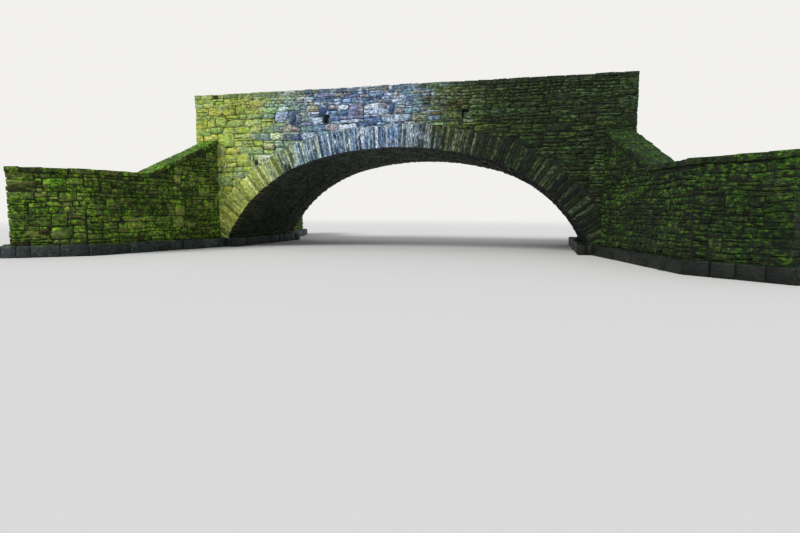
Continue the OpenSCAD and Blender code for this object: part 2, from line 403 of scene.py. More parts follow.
# Arch ring: finely laminated, dark and pale slabs, limy along their edges
RING_SLATE = weathered_stone(
    "slate slabs on edge",
    "6f7c26 92a03c 78863f 9fae4e b9c166 cbd27c a5b061 c0c75a",
    "283f5c 3c526e 4a606c 506e8e 88a2bc b6c6d4 9eb0ac 7492b2",
    "1e2814 28321a 343e24 525a38 646a48 80846a",
    moss=(0.26, -0.12, 0.02), lime=0.95, laminae=34.0, edge=0.17)
# Vault: almost black with painted shade under the arch, with hardly any moss
VAULT_STONE = weathered_stone(
    "vault stone in painted shade",
    "253a1d 172b11 2f3a22 12230d", "253a1f 172b14 2f3a25 12230f", "253a1c 172b11 2e3820 12230c",
    moss=(-0.05, -0.10, 0.0), lime=0.2, gloom=0.5)
# Wing walls: brown stone that shows between deep green cushions of moss
WING_STONE = weathered_stone(
    "mossy wall stone",
    "66703a 4c4a20 7c8040 38340f 5c6428", "66703a 4c4a20 7c8040 38340f",
    "66703a 4c4a20 7c8040 38340f 5c6428",
    moss=(0.0, 0.24, 0.0), lime=0.15, gloom=0.42, greens="183804 44780a 9acb2c")
# Footings: wet and a little shiny, and dark with painted shade
FOOT_STONE = weathered_stone(
    "wet footing stone in painted shade",
    "2c3736 1b2324 3a4544 1b211c 242d2e", "2c3736 1b2324 3a4544 1b211c",
    "283028 19211a 343d32 181e18 212922",
    moss=(0.0, 0.12, 0.04), lime=0.3, gloom=0.5, wet=0.25, greens="122006 2a4212 4c6a2a")
# Parapet copings: plainer and greyer slate than the walls
COPING_SLATE = weathered_stone(
    "coping slate",
    "8ea350 819752 9cac60 778d55", "5a7282 6f8088 627078 4e667a 74766a",
    "566c4c 5e7052 4a5e42 5c6448",
    moss=(0.10, -0.06, 0.04), lime=0.6, contrast=0.9)
# Joints of the walls: from dark where they are raked out to pale where lime shows
MORTAR = old_mortar("lime mortar", "1e260a 5a682a ccd08c", "1c2632 4e6276 c8d6e2",
                    "141a10 303a28 5c664c")
# Joints of the ring: the palest of all
RING_MORTAR = old_mortar("fresh lime in the ring", "4e5530 98a070 c6caa4",
                         "5c6872 a0adb6 d2d9dc", "232a1c 434e38 737c60")
# Joints of the vault, which the painted shade on faces that look down turns almost black
DARK_MORTAR = old_mortar("vault mortar in painted shade", "435540 5f715c 839479", "435540 5f715c 839479",
                         "3f513c 5a6c57 7d8e73")
# Joints of the wing walls and footings: dark green all over
WING_MORTAR = old_mortar("mossy wall mortar", "0f1707 1c2a0c 34481a", "0f1707 1c2a0c 34481a",
                         "0e1506 1a270b 304416")
GRAVEL = road_gravel()


# Rough stone surfaces

def between(rng, low, high, count=None):
    """A random number, or an array of them."""
    return rng.uniform(low, high, count)


# What makes numbers that look random out of the points of a lattice
SCATTER = np.array([127.1, 311.7, 74.7])
SEED_STEP = 19.19
STRETCH = 43758.5453


def lumps(points, size, seed):
    """Smooth noise from -1 to 1. Random numbers stand on a lattice of the given size, and are
    blended between its corners by 3t^2 - 2t^3 along each axis."""
    scaled = points / size
    base = np.floor(scaled)
    t = scaled - base
    t = t * t * (3 - 2 * t)
    total = np.zeros(points.shape[:-1])
    for corner in itertools.product((0, 1), repeat=3):
        key = (base + corner) @ SCATTER + seed * SEED_STEP
        value = np.modf(np.abs(np.sin(key) * STRETCH))[0] * 2 - 1
        total += value * np.prod(np.where(corner, t, 1 - t), axis=-1)
    return total


def rubble_form(across, up):
    """Topology of a stone set in a wall: a front grid, a skirt round it and one back face."""
    columns, rows = across + 1, up + 1
    index = np.arange(rows * columns).reshape(rows, columns)
    loop = np.concatenate([index[0, :-1], index[:-1, -1], index[-1, :0:-1], index[:0:-1, 0]])
    back = np.arange(len(loop)) + rows * columns
    quads = np.stack([index[:-1, :-1], index[:-1, 1:], index[1:, 1:], index[1:, :-1]], -1)
    skirt = np.stack([loop, back, np.roll(back, -1), np.roll(loop, -1)], -1)
    corners = np.concatenate([quads.ravel(), skirt.ravel(), back[::-1]])
    counts = np.array([4] * (across * up + len(loop)) + [len(loop)])
    return {"across": across, "up": up, "loop": loop, "corners": corners, "counts": counts,
            "verts": rows * columns + len(loop), "smooth": across * up}


def block_form(rows):
    """Topology of a box with so many rows of points along each axis, on its six sides."""
    grid = np.stack(np.meshgrid(*[np.arange(n) for n in rows], indexing="ij"), -1).reshape(-1, 3)
    limits = np.array(rows) - 1
    outside = ((grid == 0) | (grid == limits)).any(1)
    number = np.full(rows, -1)
    number[tuple(grid[outside].T)] = np.arange(outside.sum())
    faces = []
    for axis, side in itertools.product(range(3), (0, 1)):
        sheet = np.take(number, -side, axis=axis)
        quads = np.stack([sheet[:-1, :-1], sheet[1:, :-1], sheet[1:, 1:], sheet[:-1, 1:]], -1)
        ahead = side == (axis != 1)
        faces.append(quads.reshape(-1, 4)[:, ::1 if ahead else -1])
    facing = np.repeat(np.arange(6) // 2, [face.size for face in faces])
    faces = np.concatenate(faces)
    return {"grid": grid[outside], "limits": limits, "corners": faces.ravel(), "facing": facing,
            "counts": np.full(len(faces), 4), "verts": int(outside.sum()), "smooth": len(faces)}


def stone_shift(rng, count):
    """How far each stone's colours are borrowed from along the bridge, in metres."""
    return (0.35 * rng.normal(size=count)).clip(-0.9, 0.9)


def enclosed(loop):
    """The area inside each closed loop of points on a face."""
    after = np.roll(loop, -1, 1)
    return np.abs((loop[..., 0] * after[..., 1] - loop[..., 1] * after[..., 0]).sum(1)) / 2


def blend(a, b, corner):
    """Values at the four corners of a cell, blended for a place a across and b up."""
    return ((1 - a) * (1 - b) * corner[0] + a * (1 - b) * corner[1] + a * b * corner[2]
            + (1 - a) * b * corner[3])


# How far courses wander, over what length, and the seed of that noise
COURSES_WANDER = ((0.030, 0.9, 41), (0.018, 0.36, 43))
# Courses run straight this near a still point, and wander in full so much further out
CALM_REACH = 0.17
CALM_FADE = 0.3
# A stone whose shape leaves it with less than this share of its area, or this area, is left out
LEAST_SHARE = 0.3
LEAST_AREA = 0.0015
# Height of a stone's hidden back
BURIED = -0.03


def set_stones(rng, form, quads, place, proud, joint=0.004, shape=None, warp=1.0, tint=None,
               shift=None, still=()):
    """Rubble stones on a face. Each fills a four-cornered cell, whose corners are points on
    the face, by a bilinear blend. Its outline is drawn in towards its corners, as
    u (1 - k v^2)^0.5 with its own k at each corner. The courses wander by noise, but not near
    the still points. A stone rises from the joint over a chamfer to a front that is tilted and
    roughened at random. place(u, v, h) turns face coordinates and height into points, and
    shape(u, v) may move points on the face."""
    count = len(quads)
    inward = (quads.mean(1, keepdims=True) - quads) * between(rng, -0.06, 0.09, (count, 4, 1))
    quads = quads + inward.clip(-0.02, 0.02) * [0.6, 1.0]
    corner = [quads[:, i, None, :] for i in range(4)]
    half_u = np.linalg.norm(corner[1] - corner[0] + corner[2] - corner[3], axis=-1) / 4
    half_v = np.linalg.norm(corner[3] - corner[0] + corner[2] - corner[1], axis=-1) / 4
    chamfer = between(rng, 0.006, 0.012, (count, 1))

    def rows(number, half):
        """Where the rows of points stand, from -1 to 1, with a chamfer along both edges."""
        inner = np.linspace(-1, 1, number - 1) * (1 - np.minimum(chamfer / half, 0.5))
        return np.concatenate([-np.ones((count, 1)), inner, np.ones((count, 1))], 1)

    s = np.repeat(rows(form["across"], half_u)[:, None, :], form["up"] + 1, 1).reshape(count, -1)
    t = np.repeat(rows(form["up"], half_v)[:, :, None], form["across"] + 1, 2).reshape(count, -1)
    inner = (np.abs(s) < 0.999) & (np.abs(t) < 0.999)
    a, b = (1 + s) / 2, (1 + t) / 2
    cut = 0.03 + 0.5 * between(rng, 0, 1, (4, count, 1)) ** 3
    k = blend(a, b, cut)
    a = ((1 + s * np.sqrt(1 - k * t * t) * (1 - joint / half_u)) / 2)[..., None]
    b = ((1 + t * np.sqrt(1 - k * s * s) * (1 - joint / half_v)) / 2)[..., None]
    face = blend(a, b, corner)
    flat = np.concatenate([face, np.zeros(face.shape[:-1] + (1,))], -1)
    wobble = np.minimum(0.16 * half_v, 0.012)
    for spot in still:
        away = np.hypot(face[..., 0] - spot[0], face[..., 1] - spot[1])
        warp = warp * np.clip((away - CALM_REACH) / CALM_FADE, 0, 1)
    seed = rng.integers(1, 999)
    for axis in (0, 1):
        face[..., axis] += wobble * lumps(flat, 0.06, seed + axis)
        for far, size, start in COURSES_WANDER:
            face[..., axis] += warp * far * lumps(flat * [1, 1.5, 1], size, start + axis)
    kept = np.ones(count, bool)
    if shape:
        before = enclosed(face[:, form["loop"]])
        face[..., 0], face[..., 1] = shape(face[..., 0], face[..., 1])
        after = enclosed(face[:, form["loop"]])
        kept = (after > LEAST_SHARE * before) & (after > LEAST_AREA)
    rise = between(rng, proud[0], proud[1], (count, 1))
    lean = between(rng, -0.006, 0.006, (count, 1)) * s + between(rng, -0.006, 0.006, (count, 1)) * t
    height = np.where(inner, rise + lean + 0.0035 * rng.normal(size=s.shape), -0.004)
    face = np.concatenate([face, face[:, form["loop"]]], 1)
    u, v = face[..., 0], face[..., 1]
    behind = np.ones((count, len(form["loop"])))
    h = np.concatenate([height, BURIED * behind], 1)
    rim = np.concatenate([1.0 - inner, behind], 1)
    grain = face + between(rng, 0, 50, (count, 1, 2))
    tint = rng.random(count) if tint is None else np.array(tint)
    shift = stone_shift(rng, count) if shift is None else np.array(shift)
    return {"co": place(u, v, h)[kept], "rim": rim[kept], "painted_shade": np.zeros_like(rim[kept]),
            "grain": grain[kept][:, form["corners"]], "tint": tint[kept], "shift": shift[kept],
            "form": form}


def shaped_blocks(rng, form, centre, axes, half, radius, roughness, widen=0.0, bed=2):
    """Rough blocks that show on several sides. Each point of a box is clamped to that box
    drawn in by a radius and put back out along the way it was moved, which rounds the edges,
    and then shifted by noise. widen is how much the width grows per metre of length, and bed
    is the axis that lies across the laminae: 1 for the width, 2 for the height. The grain of
    each side is laid along the block and across its laminae."""
    count = len(centre)
    limits = form["limits"]
    at_end = (form["grid"] == 0) | (form["grid"] == limits)
    unit = np.where(at_end, form["grid"] / limits * 2 - 1,
                    (form["grid"] - 1) / np.maximum(limits - 2, 1) * 2 - 1)
    radius = np.minimum(radius * between(rng, 0.7, 1.5, count), 0.45 * half.min(1))[:, None, None]
    half = half[:, None, :]
    core = half - radius
    local = np.where(at_end, unit * half, unit * core)
    clamped = np.clip(local, -core, core)
    away = local - clamped
    size = np.linalg.norm(away, axis=-1, keepdims=True)
    local = clamped + away / np.maximum(size, 1e-9) * np.minimum(size, radius)
    taper = between(rng, -0.06, 0.06, (count, 1)) + widen * half[..., 0]
    local[..., 1] *= 1 + taper * unit[None, :, 0]
    shift = between(rng, 0, 50, (count, 1, 3))
    for axis in range(3):
        local[..., axis] += roughness * lumps(local + shift, 0.12, 7 + axis)
        local[..., axis] += 0.5 * roughness * lumps(local + shift, 0.05, 17 + axis)
    co = centre[:, None, :] + np.einsum("nvi,nij->nvj", local, axes)
    rim = np.broadcast_to(np.where(at_end.sum(1) > 1, 1.0, 0.0), co.shape[:-1])
    spread, facing = local[:, form["corners"]], form["facing"]
    grain = np.stack([np.where(facing == 0, spread[..., 3 - bed], spread[..., 0]),
                      np.where(facing == bed, spread[..., 3 - bed], spread[..., bed])], -1)
    grain += shift[..., :2]
    return {"co": co, "rim": rim, "painted_shade": np.zeros(rim.shape), "grain": grain,
            "tint": rng.random(count), "shift": stone_shift(rng, count), "form": form,
            "unit": unit}


def set_blocks(rng, form, rows, radius, roughness):
    """Rough blocks from rows of a centre, the direction of the length, and the half length,
    width and height."""
    centre, heading, half = [np.array(column, float) for column in zip(*rows)]
    heading /= np.linalg.norm(heading, axis=1, keepdims=True)
    side = np.stack([-heading[:, 1], heading[:, 0], 0 * heading[:, 0]], -1)
    side /= np.linalg.norm(side, axis=1, keepdims=True)
    axes = np.stack([heading, side, np.cross(heading, side)], 1)
    return shaped_blocks(rng, form, centre, axes, half, radius, roughness)


def joined(name, heaps, material, mirror=(1, 1)):
    """One piece from heaps of stones, mirrored in X or Y where mirror says -1. Its faces are
    turned round when it is mirrored once, so that they still point outwards."""
    points, corners, counts, smooth, grain = [], [], [], [], []
    marks = {"rim": [], "painted_shade": [], "tint": [], "shift": []}
    start = 0
    for heap in heaps:
        form, count = heap["form"], len(heap["co"])
        order = np.arange(len(form["corners"]))
        if mirror[0] * mirror[1] < 0:
            faces = np.split(order, np.cumsum(form["counts"])[:-1])
            order = np.concatenate([face[::-1] for face in faces])
        first = start + np.arange(count)[:, None] * form["verts"]
        corners.append((first + form["corners"][order]).ravel())
        counts.append(np.tile(form["counts"], count))
        smooth.append(np.tile(np.arange(len(form["counts"])) < form["smooth"], count))
        points.append(heap["co"].reshape(-1, 3))
        grain.append(heap["grain"][:, order].ravel())
        for key, values in marks.items():
            repeat = form["verts"] if heap[key].ndim == 1 else 1
            values.append(np.repeat(heap[key], repeat))
        start += count * form["verts"]
    points = np.concatenate(points) * [mirror[0], mirror[1], 1]
    points[:, 2] = np.maximum(points[:, 2], 0)
    corners, counts = np.concatenate(corners), np.concatenate(counts)
    mesh = bpy.data.meshes.new(name)
    mesh.vertices.add(len(points))
    mesh.vertices.foreach_set("co", points.ravel())
    mesh.loops.add(len(corners))
    mesh.loops.foreach_set("vertex_index", corners)
    mesh.polygons.add(len(counts))
    mesh.polygons.foreach_set("loop_start", np.cumsum(counts) - counts)
    mesh.polygons.foreach_set("use_smooth", np.concatenate(smooth))
    for key, values in marks.items():
        layer_of_marks = mesh.attributes.new(key, "FLOAT", "POINT")
        layer_of_marks.data.foreach_set("value", np.concatenate(values))
    mesh.uv_layers.new(name="grain").data.foreach_set("uv", np.concatenate(grain))
    mesh.update(calc_edges=True)
    mesh.materials.append(material)
    piece = placed(name, mesh)
    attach(piece, "root")


# Coursing

# A gap over or under a stone that is thinner than the first, or a stretch of a course that is
# shorter than the second, gets no stone of its own
SLIVER = 0.04
SHORTEST = 0.03


def beds(rng, *bands):
    """Heights of the beds, in bands from one height to the next, with the thinnest and the
    thickest course of each."""
    lines = [bands[0][0]]
    for low, high, thin, thick in bands:
        heights = [between(rng, thin, thick)]
        while sum(heights) < high - low:
            heights.append(between(rng, thin, thick))
        tops = np.cumsum(heights)
        lines += list(low + tops * (high - low) / tops[-1])
    return np.array(lines)


def free_stretches(taken, start, end):
    """What is left of start..end between the taken stretches."""
    left = start
    for a, b in sorted(taken):
        if min(a, end) > left + SHORTEST:
            yield left, min(a, end)
        left = max(left, b)
    if left < end - SHORTEST:
        yield left, end


def cell(u0, u1, low, high, lean0=0.0, lean1=0.0):
    """The corners of a stone between two joints, whose tops lean to the right by lean."""
    return [(u0, low), (u1, low), (u1 + lean1, high), (u0 + lean0, high)]


def fill_course(rng, start, end, low, high, ratio, longest, split):
    """One stretch of a course: stones of random length with leaning joints. Some of them,
    with the chance that split(u) gives, are two thinner ones."""
    height = high - low
    lengths = []
    while sum(lengths) < end - start:
        lengths.append(min(max(height * between(rng, *ratio), 0.10), longest))
    joints = start + np.cumsum([0] + lengths) * (end - start) / sum(lengths)
    leans = between(rng, -0.28, 0.28, len(joints)) * height
    leans[0] = leans[-1] = 0
    made = []
    for i in range(len(lengths)):
        u0, u1, a, b = joints[i], joints[i + 1], leans[i], leans[i + 1]
        if height > 0.11 and rng.random() < split((u0 + u1) / 2):
            part = between(rng, 0.22, 0.7)
            middle = low + height * part
            made.append(cell(u0, u1, low, middle, a * part, b * part))
            made.append(cell(u0 + a * part, u1 + b * part, middle, high,
                             a * (1 - part), b * (1 - part)))
        else:
            made.append(cell(u0, u1, low, high, a, b))
    return made


def rubble(rng, start, end, lines, ratio=(1.3, 4.2), longest=0.55, kept=(), jumpers=True,
           split=lambda u: 0.3):
    """Roughly coursed rubble between bed lines. kept lists rectangles (u0, u1, low, high)
    that stay free, with thin stones filling up to them. Jumpers are two courses high, where
    few stones are split."""
    made = []
    courses = len(lines) - 1
    taken = [[] for _ in range(courses)]
    for u0, u1, low, high in kept:
        for k in range(courses):
            overlap = min(high, lines[k + 1]) - max(low, lines[k])
            if overlap > 0.25 * (lines[k + 1] - lines[k]):
                taken[k].append((u0, u1))
                if low - lines[k] > SLIVER:
                    made.append(cell(u0, u1, lines[k], low))
                if lines[k + 1] - high > SLIVER:
                    made.append(cell(u0, u1, high, lines[k + 1]))
    for k in range(courses - 1 if jumpers else 0):
        u = start + between(rng, 0.1, 1.6)
        height = lines[k + 2] - lines[k]
        while u < end - 0.6 and height < 0.42:
            width = height * between(rng, 0.8, 1.6)
            if split(u) < 0.5 and all(u + width + 0.1 <= a or u - 0.1 >= b
                                      for a, b in taken[k] + taken[k + 1]):
                taken[k].append((u, u + width))
                taken[k + 1].append((u, u + width))
                made.append(cell(u, u + width, lines[k], lines[k + 2]))
            u += between(rng, 1.2, 3.0)
    for k in range(courses):
        for a, b in free_stretches(taken[k], start, end):
            made += fill_course(rng, a, b, lines[k], lines[k + 1], ratio, longest, split)
    return np.array(made)


def wall_place(start, heading):
    """A flat wall. u runs from start along heading, v is the height, and h stands out of the
    wall, to the right of that heading."""
    def place(u, v, h):
        return np.stack([start[0] + u * heading[0] + h * heading[1],
                         start[1] + u * heading[1] - h * heading[0], v], -1)
    return place


def line_of_blocks(rng, start, end, front, back, low, high, lengths, ragged, joint=0.008):
    """Rows for blocks laid end to end between two points on the line of a wall's face. They
    reach from back, behind that line, to front, to the right of it, and from low to high."""
    start, end = np.array(start, float), np.array(end, float)
    reach = np.linalg.norm(end - start)
    heading = (end - start) / reach
    right = np.array([heading[1], -heading[0], 0])
    right /= np.linalg.norm(right)
    up = np.cross(right, heading)
    cuts = []
    while sum(cuts) < reach:
        cuts.append(between(rng, *lengths))
    cuts = np.array(cuts) * reach / sum(cuts)
    rows = []
    for length, stop in zip(cuts, np.cumsum(cuts)):
        out = front + between(rng, -ragged, ragged)
        top = high + between(rng, 0, 0.8) * ragged
        middle = (start + heading * (stop - length / 2) + right * (out - back) / 2
                  + up * (low + top) / 2)
        rows.append((middle, heading, (length / 2 - joint / 2, (out + back) / 2,
                                       (top - low) / 2)))
    return rows


# How far the blocks of corners and wall ends stand out, and the joint between their courses
CORNER_PROUD = 0.022
CORNER_JOINT = 0.010


def course_block(middle, heading, length, width, z0, z1):
    """The row for a block of a course between two heights."""
    return ((*middle, (z0 + z1) / 2), (*heading, 0),
            (length / 2, width / 2, (z1 - z0 - CORNER_JOINT) / 2))


def wall_end(rng, corner, inward, across, width, low, high):
    """The end of a wall: courses of one block or two, that reach into it by random lengths.
    Returns their rows, and what each course takes up along the wall's two sides."""
    lines = beds(rng, (low, high, 0.09, 0.20))
    rows, near, far = [], [], []
    for z0, z1 in zip(lines[:-1], lines[1:]):
        parts = [(-CORNER_PROUD, width + CORNER_PROUD)]
        if rng.random() < 0.45:
            split = width * between(rng, 0.38, 0.62)
            parts = [(-CORNER_PROUD, split - CORNER_JOINT / 2),
                     (split + CORNER_JOINT / 2, width + CORNER_PROUD)]
        reach = between(rng, 0.24, 0.56, len(parts))
        for (a, b), length in zip(parts, reach):
            out = CORNER_PROUD + between(rng, -0.006, 0.008)
            middle = corner + inward * (length - out) / 2 + across * (a + b) / 2
            rows.append(course_block(middle, inward, length + out, b - a, z0, z1))
        near.append((reach[0], z0, z1))
        far.append((reach[-1], z0, z1))
    return rows, near, far


def quoins(rng, corner, inward, low, high):
    """A corner: blocks laid long and short by turns. Returns their rows, and what each takes
    up along X and along Y."""
    lines = beds(rng, (low, high, 0.14, 0.26))
    rows, along_x, along_y = [], [], []
    for i, (z0, z1) in enumerate(zip(lines[:-1], lines[1:])):
        sizes = [between(rng, 0.34, 0.52), between(rng, 0.18, 0.26)]
        length, depth = sizes if i % 2 else sizes[::-1]
        middle = corner + inward * (np.array([length, depth]) - CORNER_PROUD) / 2
        rows.append(course_block(middle, RIGHT, length + CORNER_PROUD, depth + CORNER_PROUD,
                                 z0, z1))
        along_x.append((length, z0, z1))
        along_y.append((depth, z0, z1))
    return rows, along_x, along_y


# The arch

def arc(on_crown):
    """X and Z of the centre, and the radius, of the arc that each point belongs to."""
    return [np.where(on_crown, crown, haunch) for crown, haunch in (
        *zip(CROWN_CENTRE, HAUNCH_CENTRE), (CROWN_R, HAUNCH_R))]


def arch_points(s, off):
    """Points off outside the intrados at arc length s from the crown, and their angle from
    the vertical. The crown arc is s / R round its centre, and the haunch arcs go on from it."""
    side = np.sign(s)
    reach = np.abs(s)
    on_crown = reach <= HALF_CROWN_ARC
    angle = np.where(on_crown, reach / CROWN_R,
                     CROWN_ANGLE + (reach - HALF_CROWN_ARC) / HAUNCH_R)
    centre_x, centre_z, radius = arc(on_crown)
    x = side * (centre_x + (radius + off) * np.sin(angle))
    return x, centre_z + (radius + off) * np.cos(angle), side * angle


def clear_of_ring(x, z):
    """Points of a face, where those inside the extrados are pushed straight out to it."""
    reach = np.abs(x)
    on_crown = np.arctan2(reach - HAUNCH_CENTRE[0], z - HAUNCH_CENTRE[1]) < CROWN_ANGLE
    centre_x, centre_z, radius = arc(on_crown)
    dx, dz = reach - centre_x, z - centre_z
    push = np.maximum((radius + RING - 0.01) / np.hypot(dx, dz), 1) - 1
    return x + np.sign(x) * dx * push, z + dz * push


# Stones of the front face that stand out: their left and right ends, bottom, top, tint and
# colour shift
LANDMARKS = [
    (-3.52, -3.14, 3.61, 3.92, 0.35, 1.6), (-2.92, -2.77, 3.56, 3.94, 0.25, 0.6),
    (-3.12, -2.94, 3.56, 3.94, 0.25, 1.0), (-3.98, -3.57, 3.32, 3.66, 0.65, 0.0),
    (-4.34, -4.00, 3.32, 3.57, 0.75, 0.0), (-3.28, -2.77, 3.36, 3.54, 0.55, 0.4),
    (-4.36, -3.90, 4.06, 4.27, 0.58, 0.0), (-5.40, -5.04, 4.10, 4.24, 0.85, 0.0),
    (-3.92, -3.55, 2.87, 3.06, 0.52, 0.3), (-5.62, -5.22, 2.39, 2.68, 0.75, 0.0),
    (-2.34, -1.80, 4.27, 4.38, 0.45, 0.0), (-1.73, -1.43, 4.26, 4.38, 0.55, 0.0),
    (-1.53, -0.85, 3.54, 3.64, 0.15, 0.0), (-0.68, -0.30, 4.22, 4.34, 0.05, 0.0),
    (-1.52, -1.11, 4.10, 4.22, 0.95, 0.0), (-1.29, -0.98, 3.72, 4.02, 0.45, 0.0),
    (-0.97, -0.84, 3.72, 4.02, 0.55, 0.0), (-0.39, -0.16, 3.92, 4.06, 0.55, 0.0),
    (-0.14, 0.02, 3.70, 4.06, 0.25, 0.0), (-2.18, -1.94, 3.76, 4.00, 0.25, 0.0),
]
THIN_COURSES = 4.06
LEDGE = (0.32, 1.00, 3.93, 4.02)
# A hollow in the face, and the arc lengths of lost ring slabs, both shown darkened as painted shade
HOLLOW = (-4.23, -4.10, 2.43, 2.61)
LOST_SLABS = (-3.25, -3.12)
DRAIN_SPOTS = [(x, PARAPET_FOOT + DRAIN_SILL + DRAIN_HIGH / 2) for x in (-DRAIN_X, DRAIN_X)]
WALL_FORM = rubble_form(5, 4)
THIN_FORM = rubble_form(4, 3)
SLAB_FORM = block_form((5, 4, 4))
BLOCK_FORM = block_form((4, 4, 4))
SIDE = {-1: "left", 1: "right"}
RIGHT = np.array([1.0, 0.0])
AHEAD = np.array([0.0, 1.0])


def drain_spaces():
    """Rectangles of a parapet's drain outlets, with the stones kept just clear of them."""
    return [(x - DRAIN_WIDE / 2 - 0.008, x + DRAIN_WIDE / 2 + 0.008, PARAPET_FOOT,
             PARAPET_FOOT + DRAIN_SILL + DRAIN_HIGH + 0.008) for x in (-DRAIN_X, DRAIN_X)]


def corner_stacks(sign_x, sign_y, seed):
    """The blocks at one end of one face: quoins up to the road, then the parapet's end. The
    outer and inner faces and the end get what each course takes up from the corner."""
    rng = np.random.default_rng(seed)
    corner = np.array([sign_x * END_X, sign_y * FACE_Y])
    inward = -np.sign(corner)
    rows, outer, at_end = quoins(rng, corner, inward, 0.0, PARAPET_FOOT)
    upper, near, far = wall_end(rng, corner, inward * RIGHT, inward * AHEAD, PARAPET_THICK,
                                PARAPET_FOOT, PARAPET_TOP)
    return {"rows": rows + upper, "outer": outer + near, "inner": far, "end": at_end}


def end_spaces(left, right, limit):
    """What the courses at both ends take up, as rectangles of a face from -limit to limit."""
    return ([(-limit, length - limit, z0, z1) for length, z0, z1 in left]
            + [(limit - length, limit, z0, z1) for length, z0, z1 in right])


def face_stones(name, side, stacks, seed):
    """Rubble of one face, from the footing to the coping, round the ring and the drains."""
    rng = np.random.default_rng(seed)
    lines = beds(rng, (0.0, PARAPET_FOOT, 0.12, 0.24), (PARAPET_FOOT, THIN_COURSES, 0.13, 0.22),
                 (THIN_COURSES, PARAPET_TOP, 0.07, 0.12))
    kept = drain_spaces() + end_spaces(stacks[side, side]["outer"],
                                       stacks[-side, side]["outer"], END_X)
    own = [HOLLOW] + [stone[:4] for stone in LANDMARKS] + [LEDGE] if side < 0 else []

    def split(u):
        """More stones are split into thin ones towards the right end of the bridge."""
        return 0.8 if -side * u > 1.0 else 0.5 if -side * u > -2.6 else 0.25

    quads = rubble(rng, -END_X, END_X, lines, kept=kept + own, longest=0.62, split=split)
    middle = quads.mean(1)
    behind_wing = (np.abs(middle[:, 0]) > WING_ROOT[0] + 0.12) & (middle[:, 1] < WING_HIGH - 0.15)
    moved_x, moved_z = clear_of_ring(middle[:, 0], middle[:, 1])
    in_ring = np.hypot(moved_x - middle[:, 0], moved_z - middle[:, 1]) > 0.03
    place = wall_place((0, side * FACE_Y), -side * RIGHT)
    heaps = [set_stones(rng, WALL_FORM, quads[~behind_wing & ~in_ring], place, (0.008, 0.030),
                        shape=clear_of_ring, still=DRAIN_SPOTS)]
    if own:
        proud = np.array([[0.022]] * len(LANDMARKS) + [[0.065]])
        heaps.append(set_stones(rng, WALL_FORM, np.array([cell(*stone) for stone in own[1:]]),
                                place, (proud, proud + 0.01), still=DRAIN_SPOTS,
                                tint=[stone[4] for stone in LANDMARKS] + [0.65],
                                shift=[stone[5] for stone in LANDMARKS] + [0.0]))
        # The hollow is a low stone, darkened all over as painted shade
        hollow = set_stones(rng, WALL_FORM, np.array([cell(*HOLLOW)]), place, (0.012, 0.014))
        hollow["painted_shade"] = np.ones_like(hollow["rim"])
        heaps.append(hollow)
    joined(name, heaps, FACE_STONE)


def ring_slabs(name, side, seed, lost=(0, 0)):
    """Thin slabs on edge, set square to the curve from skewback to skewback, with ragged
    ends, dark and pale by turns, and half as thick again at the springings. They lean back at
    the outer end. Their inner ends and hidden sides are painted with shade as dark as the vault.
    Between the lost arc lengths the slabs are short, with a hollow under them that is low
    slabs darkened all over as painted shade. Away from the crown, they take the colours of
    either end sooner than the wall."""
    rng = np.random.default_rng(seed)
    widths = []
    while sum(widths) < 2 * HALF_ARC:
        from_crown = abs(sum(widths) / HALF_ARC - 1)
        widths.append(between(rng, 0.035, 0.100) * (1 + 0.5 * from_crown))
    widths = np.array(widths) * 2 * HALF_ARC / sum(widths)
    s = -HALF_ARC + np.cumsum(widths) - widths / 2
    count = len(s)
    inner = between(rng, -0.022, -0.002, count)
    outer = RING + 0.04 * np.sin(s * 2.3) + between(rng, -0.035, 0.035, count)
    proud = between(rng, 0.018, 0.038, count)
    tint = (np.arange(count) % 2 * 0.5 + between(rng, -0.1, 0.6, count)).clip(0, 0.999)
    short = (s > lost[0]) & (s < lost[1])
    s, widths, tint = [np.concatenate([row, row[short]]) for row in (s, widths, tint)]
    bare = np.arange(len(s)) >= count
    inner = np.concatenate([np.where(short, 0.17, inner), inner[short]])
    outer = np.concatenate([outer, np.full(short.sum(), 0.16)])
    proud = np.concatenate([proud, np.full(short.sum(), 0.010)])
    count = len(s)
    x0, z0, angle = arch_points(s, inner)
    x1, z1, _ = arch_points(s, outer)
    depth = between(rng, 0.36, 0.42, count)
    centre = np.stack([(x0 + x1) / 2, side * (FACE_Y + (proud - depth) / 2), (z0 + z1) / 2], -1)
    tilt = angle + between(rng, -0.018, 0.018, count)
    out = np.stack([np.sin(tilt), 0 * tilt, np.cos(tilt)], -1)
    across = np.stack([np.cos(tilt), 0 * tilt, -np.sin(tilt)], -1)
    axes = np.stack([out, across, np.cross(out, across)], 1)
    radius = arc(np.abs(s) < HALF_CROWN_ARC)[2] + RING / 2
    thick = widths * radius / (radius - RING / 2) / 2 - between(rng, 0.001, 0.006, count)
    half = np.stack([np.hypot(x1 - x0, z1 - z0) / 2, thick, (proud + depth) / 2], -1)
    heap = shaped_blocks(rng, SLAB_FORM, centre, axes, half, radius=0.006, roughness=0.009,
                         widen=1 / radius[:, None], bed=1)
    # Painted shade: the inner end faces, the hidden sides and the low slabs of the hollow are
    # darkened
    inside = (SLAB_FORM["grid"][:, 0] == 0) | (side * heap["unit"][:, 2] < 0.9)
    heap["co"][..., 1] -= side * 0.008 * (1 + heap["unit"][..., 0])
    heap["painted_shade"] = np.maximum(inside, bare[:, None]).astype(float)
    heap["tint"] = tint
    heap["shift"] = 0.7 * heap["shift"] + 0.5 * (s > 0.7) - 0.4 * (s < -1.5) - 0.4 * (s < -3.7)
    joined(name, [heap], RING_SLATE)


